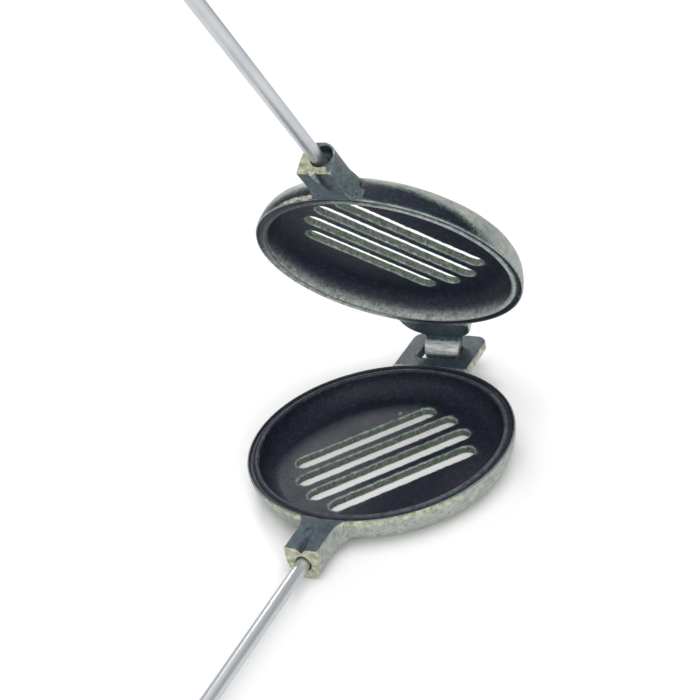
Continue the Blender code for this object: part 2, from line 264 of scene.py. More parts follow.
def socket(up):
    s = 1.0 if up else -1.0
    rim = UP_RIM if up else LOW_RIM
    secs = []
    ys = [(-SOCKET_END, 8.1), (-82, 8.1), (-76.0, 8.1), (-73.5, 8.1)]
    if up:
        ys += [(-71.0, 8.12), (-69.5, 8.18), (-68.0, 8.28), (-66.8, 8.45), (-65.6, 8.75), (-64.4, 9.15), (-63.0, 9.65), (-61.0, 10.3), (-58, 10.8), (-54.0, 11.2)]
    else:
        ys += [(-71.0, 8.25), (-69.5, 8.5), (-68.0, 8.85), (-66.8, 9.25), (-65.8, 9.7), (-64.8, 10.4), (-63.4, 11.2), (-61.0, 12.0), (-58, 12.4), (-54.0, 12.6)]
    zc = PZ + s * ROD_DROP
    for y, hw in ys:
        pts = [(-hw, rim)]
        n = 22
        for i in range(n + 1):
            t = math.pi * i / n
            pts.append((-hw * math.cos(t), zc + s * (HALF_DEPTH - ROD_DROP) * 0.985 * math.sin(t)))
        pts.append((hw, rim))
        secs.append([(x, y, zz) for x, zz in pts])
    return loft("socket", secs)


def vee(top, depth, hw, y1, lift):
    y0 = -SOCKET_END - (2.0 if lift > 0 else 0.0)
    secs = [[(-hw, y0, top + lift), (0, y0, top - depth), (hw, y0, top + lift)],
            [(-hw * 0.25, y1, top + lift), (0, y1, top - 0.02), (hw * 0.25, y1, top + lift)]]
    return loft("vee", secs)


def base_solid(up):
    s = 1.0 if up else -1.0
    rim = UP_RIM if up else LOW_RIM
    prof = [(r, PZ + s * d) for r, d in outer_profile()]
    prof[0] = (RIM_R - 0.25, rim)
    prof.insert(1, (RIM_R, PZ + s * 0.4))
    prof = [(0, rim)] + prof + [(0, PZ + s * HALF_DEPTH)]
    body = turn("shell", prof)
    inner = [(r, PZ + s * d) for r, d in inner_profile()]
    cav = turn("cavity", [(0, inner[0][1])] + inner + [(0, inner[-1][1])])
    return body, cav


def lower_casting():
    body, cav = base_solid(False)
    z0, z1 = PIVOT_Z - PLATE_T / 2, PIVOT_Z + PLATE_T / 2
    cr = 6.5
    outline = ([(-PLATE_HW - 1.2, 54.0), (PLATE_HW + 1.2, 54.0), (PLATE_HW + 0.25, 64.0), (PLATE_HW, 67.0)]
               + arc(PLATE_HW - cr, PLATE_Y1 - cr, cr, 0, 90, 12) + arc(-PLATE_HW + cr, PLATE_Y1 - cr, cr, 90, 180, 12)
               + [(-PLATE_HW, 67.0), (-PLATE_HW - 0.25, 64.0)])
    plate = prism("plate", outline, z0, z1, 'Z', bevel=0.9, segs=3)
    wr = 1.8
    window = prism("window", arc(-WIN_HW + wr, WIN_Y0 + wr, wr, 180, 270, 6) + arc(WIN_HW - wr, WIN_Y0 + wr, wr, 270, 360, 6)
                   + arc(WIN_HW - wr, WIN_Y1 + 1.2 - wr, wr, 0, 90, 6) + arc(-WIN_HW + wr, WIN_Y1 + 1.2 - wr, wr, 90, 180, 6),
                   z0 - 2, z1 + 2)
    nr = 2.2
    nose = prism("nose", [(WIN_Y1 + 3.4, z0 + 0.02)] + arc(WIN_Y1 + nr, z0 + 0.02 + nr, nr, 270, 180, 8)
                 + arc(WIN_Y1 + nr, z1 - 0.02 - nr, nr, 180, 90, 8) + [(WIN_Y1 + 3.4, z1 - 0.02)],
                 -WIN_HW - 0.8, WIN_HW + 0.8, 'X')
    ops = [(plate, 'UNION'), (window, 'DIFFERENCE'), (nose, 'UNION'), (socket(False), 'UNION'), (cav, 'DIFFERENCE')]
    ops += [(c, 'DIFFERENCE') for c in slot_cutters(False, 0.0)]
    ops += [(rod_solid("bore", BORE_R, (0, -SOCKET_END - 3, ROD_Z), (0, -SOCKET_END + BORE_DEPTH, ROD_Z)), 'DIFFERENCE'),
            (rod_solid("mouth", MOUTH_LOWER[0], (0, -SOCKET_END - 3, ROD_Z), (0, -SOCKET_END + MOUTH_LOWER[1], ROD_Z)), 'DIFFERENCE'),
            (vee(LOW_RIM, 2.5, 3.1, -72.0, 0.4), 'DIFFERENCE'),
            (prism("mark", [(-4.6, -76.4), (0.9, -75.2), (0.4, -73.6), (-1.9, -68.6), (-2.9, -68.8)], LOW_RIM - 0.45, LOW_RIM + 1.0, 'Z'), 'DIFFERENCE')]
    return combine(body, ops)


def upper_casting():
    body, cav = base_solid(True)
    t0, t1 = UP_RIM, UP_RIM + TONGUE_T
    half = [(19.4, 54.0), (19.0, 66.0), (18.5, 69.5), (17.6, 72.3), (16.3, 74.6), (14.6, 76.6), (12.9, 78.0), (11.4, 79.0),
            (10.3, 80.0), (HOOK_HW, 81.2), (HOOK_HW, 83.0)]
    tongue = prism("tongue", half + [(-x, y) for x, y in half[::-1]], t0, t1, 'Z', bevel=0.7, segs=2)
    face = -(2.85 + 0.1736 * (t1 - PIVOT_Z)) / 0.9848
    hook = [(PIVOT_Y + face, t1 - 0.3), (PIVOT_Y + face - 0.5, t1 - 0.02), (PIVOT_Y + face - 3.4, t1 - 0.02), (PIVOT_Y - HOOK_RO, t0 + 1.0)]
    hook += arc(PIVOT_Y, PIVOT_Z, HOOK_RO, 180, 298, 30)
    hook += [arc(PIVOT_Y, PIVOT_Z, (HOOK_RO + HOOK_RI) / 2, 298, 304, 1)[1]]
    hook += arc(PIVOT_Y, PIVOT_Z, HOOK_RI, 298, 180, 24)
    hook = prism("hook", hook, -HOOK_HW, HOOK_HW, 'X', bevel=0.0)
    ops = [(tongue, 'UNION'), (socket(True), 'UNION'), (hook, 'UNION'), (cav, 'DIFFERENCE')]
    ops += [(c, 'DIFFERENCE') for c in slot_cutters(True, SLOT_SHIFT_LID)]
    ops += [(rod_solid("bore", BORE_R, (0, -SOCKET_END - 3, ROD_Z_UP), (0, -SOCKET_END + BORE_DEPTH, ROD_Z_UP)), 'DIFFERENCE'),
            (rod_solid("mouth", MOUTH_UPPER[0], (MOUTH_UPPER[2], -SOCKET_END - 3, ROD_Z_UP + MOUTH_UPPER[3]),
                       (MOUTH_UPPER[2], -SOCKET_END + MOUTH_UPPER[1], ROD_Z_UP + MOUTH_UPPER[3])), 'DIFFERENCE'),
            (vee(UP_RIM, 2.2, 2.55, -72.5, 0.02), 'UNION')]
    return combine(body, ops)


def coords(me):
    co = np.empty(len(me.vertices) * 3, np.float32)
    me.vertices.foreach_get("co", co)
    return co.reshape(-1, 3).astype(float)


def normals(me):
    no = np.empty(len(me.vertices) * 3, np.float32)
    me.vertices.foreach_get("normal", no)
    return no.reshape(-1, 3).astype(float)


def spread(me, val, rounds):
    """Averages per-vertex values (n, k) with their neighbours."""
    ed = np.empty(len(me.edges) * 2, np.int32)
    me.edges.foreach_get("vertices", ed)
    ed = ed.reshape(-1, 2)
    n = len(me.vertices)
    cnt = np.bincount(ed.ravel(), minlength=n).astype(float)
    for _ in range(rounds):
        for k in range(val.shape[1]):
            acc = np.bincount(ed[:, 0], weights=val[ed[:, 1], k], minlength=n) + np.bincount(ed[:, 1], weights=val[ed[:, 0], k], minlength=n)
            val[:, k] = 0.5 * val[:, k] + 0.5 * acc / np.maximum(cnt, 1)
    return val


def cast_skin(ob, up, voxel=0.45, seed=0.0):
    """Rounds every edge as sand casting does, then lays the skin's unevenness, the wear zones and the painted
    highlights and shade on it.
    """
    m = ob.modifiers.new("remesh", 'REMESH')
    m.mode = 'VOXEL'
    m.voxel_size = voxel * MM
    m.adaptivity = 0.0
    bake(ob)
    m = ob.modifiers.new("smooth", 'SMOOTH')
    m.factor = 0.5
    m.iterations = 2
    bake(ob)
    me = ob.data
    co, no = coords(me), normals(me)
    p = co / MM
    s = 1.0 if up else -1.0
    r = np.hypot(p[:, 0], p[:, 1])
    d = s * (p[:, 2] - PZ)                      # depth from the parting plane
    sock = (p[:, 1] < -63) & (np.abs(p[:, 0]) < 13)
    loop = p[:, 1] > 64.3
    # displacement: broad waves, granular skin, and torn slot edges
    n1 = np.array([noise.noise(Vector((q[0] + seed, q[1], q[2])) * 0.11) for q in p])
    n2 = np.array([noise.noise(Vector((q[0] + seed, q[1], q[2])) * 0.62) for q in p])
    n3 = np.array([noise.noise(Vector((q[0] + seed, q[1], q[2])) * 1.45) for q in p])
    disp = 0.080 * n1 + 0.045 * n2 + 0.030 * n3
    calm = (r > 58.5) & (r < 65.5) & (d < 3) & ~sock & ~loop
    disp = np.where(calm, 0.45 * disp, disp)
    slot_wall = (r < 47) & (np.abs(no[:, 2]) < 0.8) & (d > HALF_DEPTH - FLOOR_T - 0.9)
    tear = np.array([noise.noise(Vector((q[0] - seed, q[1], q[2] * 0.4)) * 0.45) if w else 0.0 for q, w in zip(p, slot_wall)])
    disp = np.where(slot_wall, 2.0 * disp + 0.30 * tear - 0.05, disp)
    co = co + no * (disp * MM)[:, None]
    me.vertices.foreach_set("co", co.astype(np.float32).ravel())
    me.update()
    if len(me.polygons) * 2 > 190000:
        m = ob.modifiers.new("thin", 'DECIMATE')
        m.ratio = 188000 / (len(me.polygons) * 2)
        bake(ob)
        me = ob.data
    # wear zones and painted light and shade, read off the shape
    co, no = coords(me), normals(me)
    p = co / MM
    r = np.hypot(p[:, 0], p[:, 1])
    d = s * (p[:, 2] - PZ)
    nz = s * no[:, 2]                           # + faces away from the parting plane
    nr = (no[:, 0] * p[:, 0] + no[:, 1] * p[:, 1]) / np.maximum(r, 1e-6)
    ang = np.degrees(np.arctan2(p[:, 1], p[:, 0]))
    sock = (p[:, 1] < -63) & (np.abs(p[:, 0]) < 13)
    loop = p[:, 1] > 64.3
    inside = (r < 61.8) & (d > 0.45) & ((nr < 0.25) | (nz < -0.2)) & (d < HALF_DEPTH - FLOOR_T + 0.35) & ~((nz > 0.5))
    slots = (r < 47) & (np.abs(nz) < 0.86) & (d > HALF_DEPTH - FLOOR_T - 0.35)
    land = (r > 61.2) & (r < 64.4) & (d < 1.9) & ~sock & (nz < 0.3)
    bead = (r > 59.6) & (r < 61.7) & (d < 0.75) & ~sock
    lip = (r > 64.35) & (r < 65.4) & (d < 0.75) & ~sock & ~loop
    outer = (~inside) & (~land) & (~bead) & (~slots) & (nz > -0.55)
    top = sock & (nz < -0.45)
    side = sock & ~top
    zone = np.zeros((len(p), 3))                # seasoned dark (inside the bowl also painted shade), bare metal, worn outside
    tint = np.zeros((len(p), 3))                # rubbed edge and painted edge highlight, slot flank, blue casting skin of socket and hinge
    wear_and_painted_light = np.zeros((len(p), 4))                # painted highlight on the lid's inner wall, dusty skin, brushed hook with painted highlight, painted shade band on the lid wall
    zone[:, 2] = outer * 1.0
    # seasoned black inside and on the rim land; the inside also made darker as painted shade of the bowl
    zone[:, 0] = np.where(inside | land, 1.0, 0.0)
    # painted highlight and shade: the bead is painted bright on the +X side, where the light falls, and dark away from
    # it; the outer lip only rubbed here and there
    lit_side = smoothstep(np.cos(np.radians(ang - 10)), -0.75, 0.55)
    tint[:, 0] = np.maximum(bead * (0.05 + 0.72 * lit_side if up else 0.02 + 0.12 * lit_side), lip * (0.62 if up else 0.42))
    zone[:, 0] = np.maximum(zone[:, 0], bead * (1.0 - 0.75 * lit_side if up else 1.0))
    tint[:, 2] = lip * 0.9
    tint[:, 1] = slots * 1.0
    tint[:, 2] = np.where(top | loop, 1.0, tint[:, 2])
    zone[:, 2] = np.where(top | loop, 0.0, zone[:, 2])
    # painted highlight: a light rim round the inner mouths of the slots
    mouth_edge = (r < 47.5) & (np.abs(d - (HALF_DEPTH - FLOOR_T)) < 0.6) & (np.abs(nz) > 0.2) & (np.abs(nz) < 0.97) & (nz < 0)
    tint[:, 0] = np.maximum(tint[:, 0], mouth_edge * 0.75)
    if up:
        # painted highlight: the ridge standing out of the lid socket's parting face is painted light
        tint[:, 0] = np.maximum(tint[:, 0], (sock & (d < -0.35)) * smoothstep(-d, 0.35, 1.3) * 0.9)
        # painted shade: the ridge's +X flank is painted dark
        shaded_ridge_flank = top & (np.abs(p[:, 0]) < 3.6) & (np.abs(p[:, 0]) > 1.0) & (d > -1.5) & (d < 0.4) & (p[:, 1] < -72)
        zone[:, 0] = np.where(shaded_ridge_flank & (p[:, 0] > 0), 1.0, zone[:, 0])
    strip = (r > 62.5) & (d > 0.5) & (d < 2.9) & (nr > 0.5) & ~loop & ~(sock & (r > 66.5))
    if up:
        # painted shade: the lid's outer wall beside the socket is painted black up to a ragged line, the dome above it
        # keeps the pale worn colour
        along = smoothstep(ang, -89, -86) * (1 - smoothstep(ang, -46, -2))
        along = np.maximum(along, 0.9 * smoothstep(-ang, 96, 99) * (1 - smoothstep(-ang, 118, 150)))
        limit = np.interp(ang, [-180, -125, -100, -88, -60, -38, -20], [2.0, 5.0, 9.5, 13.0, 11.0, 7.0, 2.5])
        wear_and_painted_light[:, 3] = outer * along * (1 - smoothstep(d, limit - 6.0, limit + 3.5)) * ~sock
        # painted highlight: inside, the wall on the hinge side is painted grey
        left = smoothstep(np.cos(np.radians(ang - 165)), 0.25, 0.75)
        painted_sheen = (inside + bead * (1 - 0.7 * left) + (land | lip) * left) * (r > 50) * smoothstep(np.cos(np.radians(ang - 112)), -0.45, 0.75) * (1 - smoothstep(d, -1.0, 10.5))
        wear_and_painted_light[:, 0] = np.maximum(wear_and_painted_light[:, 0], painted_sheen)
        wear_and_painted_light[:, 1] = side * 0.30
        zone[:, 1] = np.maximum(zone[:, 1], strip * 0.9 * smoothstep(-ang, 98, 101) * (1 - smoothstep(-ang, 112, 124)) * (d < 2.4))
        end = sock & (no[:, 1] < -0.6) & (p[:, 1] < -SOCKET_END + 1.2)
        e = end * (1 - smoothstep(p[:, 0] + 0.5 * (d - 8), 1.0, 5.0)) * (1 - smoothstep(d, 10.0, 13.0))
        zone[:, 1] = np.maximum(zone[:, 1], e)
        tint[:, 2] = np.where(side, 0.95, tint[:, 2])
        zone[:, 2] = np.where(side, 0.0, zone[:, 2])
        # brushed band of ground metal on the hook's outer face, brightened as a painted highlight where it faces up and
        # forward
        rr = np.hypot(p[:, 1] - PIVOT_Y, p[:, 2] - PIVOT_Z)
        fn = (no[:, 1] * (p[:, 1] - PIVOT_Y) + no[:, 2] * (p[:, 2] - PIVOT_Z)) / np.maximum(rr, 1e-6)
        phi = np.degrees(np.arctan2(p[:, 2] - PIVOT_Z, p[:, 1] - PIVOT_Y)) % 360
        hook = (rr < HOOK_RO + 0.6) & (rr > HOOK_RO - 0.9) & (fn > 0.6) & (phi > 172) & (phi < 262)
        rub_and_highlight = hook * smoothstep(phi, 174, 184) * (1 - smoothstep(phi, 222, 240))
        tint[:, 0] = np.maximum(tint[:, 0], rub_and_highlight * 0.8)
        wear_and_painted_light[:, 2] = rub_and_highlight
        tint[:, 2] = np.where(hook, 1.0, tint[:, 2])
        corner = (rr < HOOK_RO + 0.8) & (np.abs(np.abs(p[:, 0]) - HOOK_HW) < 0.6) & (phi > 172) & (phi < 300)
        tint[:, 0] = np.maximum(tint[:, 0], corner * 0.9)
        flank = (loop & (no[:, 0] > 0.45)) * smoothstep(p[:, 0], 9.5, 16.0)
        zone[:, 1] = np.maximum(zone[:, 1], flank * 0.95)
    else:
        zone[:, 1] = np.maximum(zone[:, 1], strip * smoothstep(np.cos(np.radians(ang + 78)), 0.55, 0.88) * 0.95)
        end = sock & (no[:, 1] < -0.6) & (p[:, 1] < -SOCKET_END + 1.2)
        zone[:, 1] = np.maximum(zone[:, 1], end * 0.95)
        edge = loop & (no[:, 0] > 0.5) & (p[:, 0] > 17)
        zone[:, 1] = np.maximum(zone[:, 1], edge * 0.55)
        tint[:, 0] = np.maximum(tint[:, 0], edge * 0.55)
    # painted highlight: on the lid the bead's edge lightening is held back only away from the lit +X side
    keep = (bead | land) * (1.0 - 0.8 * lit_side if up else 1.0)    # where a rubbed edge would be too bright
    both = spread(me, np.hstack([zone, tint, wear_and_painted_light, keep[:, None]]), 2)
    for name, cols, alpha in (("zone", both[:, :3], both[:, 10]), ("tint", both[:, 3:6], np.ones(len(p))), ("wear_and_painted_light", both[:, 6:9], both[:, 9])):
        at = me.color_attributes.new(name, 'FLOAT_COLOR', 'POINT')
        at.data.foreach_set("color", np.hstack([cols, alpha[:, None]]).astype(np.float32).ravel())
    me.shade_smooth()
    return ob


# ---------------------------------------------------------------- materials
def node_material(name):
    m = bpy.data.materials.new(name)
    m.use_nodes = True
    nt = m.node_tree
    b = nt.nodes["Principled BSDF"]
    return m, nt, b


class G:
    """Small helper for writing node graphs."""
    def __init__(self, nt):
        self.nt = nt
        self.tc = nt.nodes.new("ShaderNodeTexCoord")

    def co(self, scale=(1, 1, 1), rot=(0, 0, 0)):
        mp = self.nt.nodes.new("ShaderNodeMapping")
        mp.inputs["Scale"].default_value = scale
        mp.inputs["Rotation"].default_value = rot
        self.nt.links.new(self.tc.outputs["Object"], mp.inputs["Vector"])
        return mp.outputs["Vector"]

    def noise(self, vec, scale, detail=4.0, rough=0.55, dist=0.0, lac=2.0):
        n = self.nt.nodes.new("ShaderNodeTexNoise")
        n.inputs["Scale"].default_value = scale
        n.inputs["Detail"].default_value = detail
        n.inputs["Roughness"].default_value = rough
        n.inputs["Distortion"].default_value = dist
        n.inputs["Lacunarity"].default_value = lac
        self.nt.links.new(vec, n.inputs["Vector"])
        return n.outputs["Fac"]

    def voronoi(self, vec, scale, feature='F1', rand=1.0):
        n = self.nt.nodes.new("ShaderNodeTexVoronoi")
        n.feature = feature
        n.inputs["Scale"].default_value = scale
        n.inputs["Randomness"].default_value = rand
        self.nt.links.new(vec, n.inputs["Vector"])
        return n.outputs["Distance"]

    def ramp(self, fac, stops, interp='LINEAR'):
        n = self.nt.nodes.new("ShaderNodeValToRGB")
        n.color_ramp.interpolation = interp
        el = n.color_ramp.elements
        while len(el) < len(stops):
            el.new(0.5)
        for e, (pos, col) in zip(el, stops):
            e.position = pos
            e.color = (*col, 1.0) if isinstance(col, tuple) else (col, col, col, 1.0)
        self.nt.links.new(fac, n.inputs["Fac"])
        return n.outputs["Color"]

    def mix(self, fac, a, b, mode='MIX'):
        n = self.nt.nodes.new("ShaderNodeMix")
        n.data_type = 'RGBA'
        n.blend_type = mode
        for sock, v in ((n.inputs[0], fac), (n.inputs[6], a), (n.inputs[7], b)):
            if isinstance(v, (int, float)):
                sock.default_value = v
            elif isinstance(v, tuple):
                sock.default_value = (*v, 1.0)
            else:
                self.nt.links.new(v, sock)
        return n.outputs[2]

    def math(self, op, a, b=0.0, c=0.0, clamp=False):
        n = self.nt.nodes.new("ShaderNodeMath")
        n.operation = op
        n.use_clamp = clamp
        for sock, v in zip(n.inputs, (a, b, c)):
            if isinstance(v, (int, float)):
                sock.default_value = v
            else:
                self.nt.links.new(v, sock)
        return n.outputs[0]

    def bump(self, height, strength, distance, normal=None):
        n = self.nt.nodes.new("ShaderNodeBump")
        n.inputs["Strength"].default_value = strength
        n.inputs["Distance"].default_value = distance
        self.nt.links.new(height, n.inputs["Height"])
        if normal is not None:
            self.nt.links.new(normal, n.inputs["Normal"])
        return n.outputs["Normal"]

    def attr(self, name):
        n = self.nt.nodes.new("ShaderNodeAttribute")
        n.attribute_name = name
        sep = self.nt.nodes.new("ShaderNodeSeparateColor")
        self.nt.links.new(n.outputs["Color"], sep.inputs["Color"])
        return [*sep.outputs][:3] + [n.outputs["Alpha"]]

    def point(self):
        n = self.nt.nodes.new("ShaderNodeNewGeometry")
        return n.outputs["Pointiness"]


def iron_material():
    m, nt, b = node_material("cast_iron_skin")
    g = G(nt)
    v = g.co()
    dark_z, bare_z, out_z, keep_z = g.attr("zone")
    edge_wear_and_highlight_z, flank_z, blue_z, _ = g.attr("tint")
    painted_sheen_z, dust_z, brushed_band_and_highlight_z, wall_shade_z = g.attr("wear_and_painted_light")
    broad = g.noise(v, 42.0, 5.0, 0.6)              # 25 mm clouds
    patch = g.noise(v, 150.0, 6.0, 0.65, 0.4)       # 7 mm blotches
    spot = g.noise(v, 420.0, 4.0, 0.6)              # 2 mm mottling
    grain = g.noise(v, 1050.0, 4.0, 0.6)            # sand grain
    hue = g.noise(g.co((1, 1, 1), (0.7, 0.3, 1.1)), 260.0, 4.0, 0.6)
    fine = g.noise(v, 2700.0, 3.0, 0.6)
    pits = g.voronoi(v, 640.0)
    # seasoned iron: navy black with teal and violet bloom and pale grains
    deep = g.ramp(hue, [(0.36, (0.007, 0.017, 0.022)), (0.50, (0.006, 0.009, 0.019)), (0.62, (0.015, 0.010, 0.030))])
    deep = g.mix(g.ramp(spot, [(0.52, 0.0), (0.80, 0.50)]), deep, (0.040, 0.052, 0.064))
    deep = g.mix(g.ramp(grain, [(0.58, 0.0), (0.76, 0.5)]), deep, (0.115, 0.135, 0.14))
    # worn outside: grey green, dark in its hollows, whitish where it rubs
    worn = g.ramp(patch, [(0.28, (0.275, 0.300, 0.278)), (0.47, (0.355, 0.378, 0.348)), (0.62, (0.425, 0.440, 0.395)), (0.76, (0.53, 0.535, 0.480))])
    worn = g.mix(g.ramp(hue, [(0.38, 0.35), (0.50, 0.0)]), worn, (0.170, 0.265, 0.235))
    worn = g.mix(g.ramp(spot, [(0.32, 0.60), (0.48, 0.0)]), worn, (0.120, 0.135, 0.140))
    worn = g.mix(g.ramp(grain, [(0.56, 0.0), (0.74, 0.6)]), worn, (0.56, 0.58, 0.53))
    # blue-green casting skin
    blue = g.ramp(hue, [(0.34, (0.034, 0.082, 0.072)), (0.47, (0.038, 0.068, 0.078)), (0.58, (0.040, 0.052, 0.078)), (0.70, (0.056, 0.053, 0.080))])
    blue = g.mix(g.ramp(patch, [(0.34, 0.7), (0.50, 0.0)]), blue, (0.018, 0.025, 0.034))
    blue = g.mix(g.ramp(spot, [(0.34, 0.60), (0.50, 0.0)]), blue, (0.016, 0.022, 0.030))
    blue = g.mix(g.ramp(grain, [(0.56, 0.0), (0.76, 0.45)]), blue, (0.17, 0.22, 0.225))
    # torn flanks of the slots: olive
    flank = g.ramp(hue, [(0.36, (0.075, 0.118, 0.062)), (0.50, (0.072, 0.100, 0.082)), (0.64, (0.105, 0.100, 0.108))])
    flank = g.mix(g.ramp(spot, [(0.36, 0.55), (0.50, 0.0)]), flank, (0.020, 0.030, 0.028))
    flank = g.mix(g.ramp(grain, [(0.56, 0.0), (0.72, 0.8)]), flank, (0.34, 0.38, 0.32))
    bare = g.ramp(spot, [(0.32, (0.22, 0.235, 0.165)), (0.50, (0.41, 0.415, 0.30)), (0.68, (0.60, 0.59, 0.47))])
    # zones with broken borders
    jag = g.math('MULTIPLY', g.math('SUBTRACT', patch, 0.5), 1.5)
    jag2 = g.math('MULTIPLY', g.math('SUBTRACT', spot, 0.5), 0.9)
    jag = g.math('ADD', jag, jag2)

    def torn(z, lo, hi):
        # noise only works where the zone is neither full nor empty
        open_ = g.math('ADD', g.math('MULTIPLY', g.math('MULTIPLY', z, g.math('SUBTRACT', 1.0, z)), 3.2), 0.22)
        return g.ramp(g.math('ADD', z, g.math('MULTIPLY', jag, open_)), [(lo, 0.0), (hi, 1.0)])
    base = g.mix(g.ramp(broad, [(0.34, 0.40), (0.52, 0.0)]), worn, (0.175, 0.200, 0.195))
    # painted shade on the lid wall: black below, through dark green into the pale dome
    speck = g.math('ADD', g.math('MULTIPLY', g.math('SUBTRACT', spot, 0.5), 0.8), g.math('MULTIPLY', g.math('SUBTRACT', grain, 0.5), 0.9))
    wall_shade = g.math('ADD', wall_shade_z, g.math('MULTIPLY', speck, g.math('ADD', g.math('MULTIPLY', g.math('MULTIPLY', wall_shade_z, g.math('SUBTRACT', 1.0, wall_shade_z)), 3.0), 0.12)))
    base = g.mix(g.ramp(wall_shade, [(0.10, 0.0), (0.42, 0.9)]), base, (0.060, 0.098, 0.084))
    base = g.mix(g.ramp(wall_shade, [(0.36, 0.0), (0.66, 1.0)]), base, deep)
    base = g.mix(torn(blue_z, 0.30, 0.62), base, blue)
    base = g.mix(torn(dark_z, 0.35, 0.60), base, deep)
    # painted highlight on the lid's inner wall, strongest at the rim: violet grey, then pale green grey
    painted_sheen_col = g.ramp(painted_sheen_z, [(0.15, (0.050, 0.050, 0.075)), (0.45, (0.150, 0.165, 0.172)), (0.85, (0.440, 0.485, 0.455))])
    painted_sheen_fac = g.math('MULTIPLY', g.ramp(painted_sheen_z, [(0.04, 0.0), (0.60, 1.0)]), g.ramp(g.math('ADD', g.math('MULTIPLY', grain, 0.5), g.math('MULTIPLY', spot, 0.5)), [(0.36, 0.25), (0.58, 1.0)]))
    base = g.mix(painted_sheen_fac, base, painted_sheen_col)
    dust_fac = g.math('MULTIPLY', dust_z, g.ramp(g.math('ADD', g.math('MULTIPLY', grain, 0.55), g.math('MULTIPLY', patch, 0.45)), [(0.40, 0.0), (0.58, 1.0)]))
    base = g.mix(dust_fac, base, (0.215, 0.265, 0.245))
    base = g.mix(flank_z, base, flank)
    # rubbed edges found by pointiness, together with the painted edge highlights of the bead, slot mouths, ridge and
    # hook
    sharp = g.math('MULTIPLY', g.ramp(g.point(), [(0.512, 0.0), (0.575, 1.0)]), g.ramp(patch, [(0.33, 0.1), (0.60, 1.0)]))
    sharp = g.math('MULTIPLY', sharp, g.math('SUBTRACT', 1.0, g.math('MULTIPLY', keep_z, 0.85)))
    rub_and_highlight = g.math('MAXIMUM', g.math('MULTIPLY', sharp, 0.65), g.math('MULTIPLY', edge_wear_and_highlight_z, g.ramp(patch, [(0.30, 0.25), (0.52, 0.95)])))
    base = g.mix(rub_and_highlight, base, g.ramp(spot, [(0.35, (0.30, 0.36, 0.34)), (0.62, (0.56, 0.61, 0.59))]))
    hollow = g.ramp(g.point(), [(0.43, 1.0), (0.492, 0.0)])
    base = g.mix(g.math('MULTIPLY', hollow, 0.65), base, (0.012, 0.016, 0.020))
    base = g.mix(torn(bare_z, 0.25, 0.60), base, bare)
    # brushed band on the hook, brightened as a painted highlight
    brushed = g.noise(g.co((120, 2600, 2600)), 1.0, 3.0, 0.6)
    base = g.mix(brushed_band_and_highlight_z, base, g.ramp(brushed, [(0.34, (0.20, 0.215, 0.215)), (0.50, (0.52, 0.545, 0.53)), (0.64, (0.82, 0.83, 0.80))]))
    nt.links.new(base, b.inputs["Base Color"])
    rough = g.math('ADD', g.math('MULTIPLY', grain, 0.26), 0.30)
    rough = g.math('ADD', rough, g.math('MULTIPLY', g.math('SUBTRACT', broad, 0.5), 0.25))
    rough = g.math('ADD', rough, g.math('MULTIPLY', dark_z, 0.07))
    nt.links.new(g.math('ADD', rough, g.math('MULTIPLY', out_z, 0.04), clamp=True), b.inputs["Roughness"])
    metal = g.math('MAXIMUM', g.math('MULTIPLY', g.math('MAXIMUM', bare_z, rub_and_highlight), 0.55), g.math('MULTIPLY', out_z, 0.38))
    nt.links.new(metal, b.inputs["Metallic"])
    b.inputs["Specular IOR Level"].default_value = 0.22
    n1 = g.bump(g.ramp(pits, [(0.05, 0.0), (0.45, 1.0)]), 0.35, 0.00014)
    n2 = g.bump(spot, 0.55, 0.00035, n1)
    n3 = g.bump(grain, 0.80, 0.00026, n2)
    n4 = g.bump(fine, 0.45, 0.00008, n3)
    nt.links.new(n4, b.inputs["Normal"])
    return m


def rod_material():
    m, nt, b = node_material("bright_plated_rod")
    g = G(nt)
    cloud = g.noise(g.co((60, 12, 60)), 1.0, 3.0, 0.5)
    col = g.ramp(cloud, [(0.3, (0.50, 0.525, 0.55)), (0.7, (0.57, 0.59, 0.61))])
    nt.links.new(col, b.inputs["Base Color"])
    nt.links.new(g.math('ADD', g.math('MULTIPLY', cloud, 0.05), 0.32), b.inputs["Roughness"])
    b.inputs["Metallic"].default_value = 0.90
    return m


def zinc_material():
    m, nt, b = node_material("zinc_plated_steel")
    g = G(nt)
    cloud = g.noise(g.co(), 260.0, 5.0, 0.6)
    fine = g.noise(g.co(), 2200.0, 3.0, 0.6)
    col = g.ramp(cloud, [(0.3, (0.40, 0.41, 0.40)), (0.55, (0.56, 0.57, 0.56)), (0.75, (0.66, 0.66, 0.62))])
    edge = g.ramp(g.point(), [(0.51, 0.0), (0.58, 1.0)])
    col = g.mix(g.math('MULTIPLY', edge, 0.6), col, (0.78, 0.78, 0.76))
    nt.links.new(col, b.inputs["Base Color"])
    nt.links.new(g.math('ADD', g.math('MULTIPLY', cloud, 0.22), 0.24), b.inputs["Roughness"])
    b.inputs["Metallic"].default_value = 1.0
    nt.links.new(g.bump(fine, 0.2, 0.00005), b.inputs["Normal"])
    return m


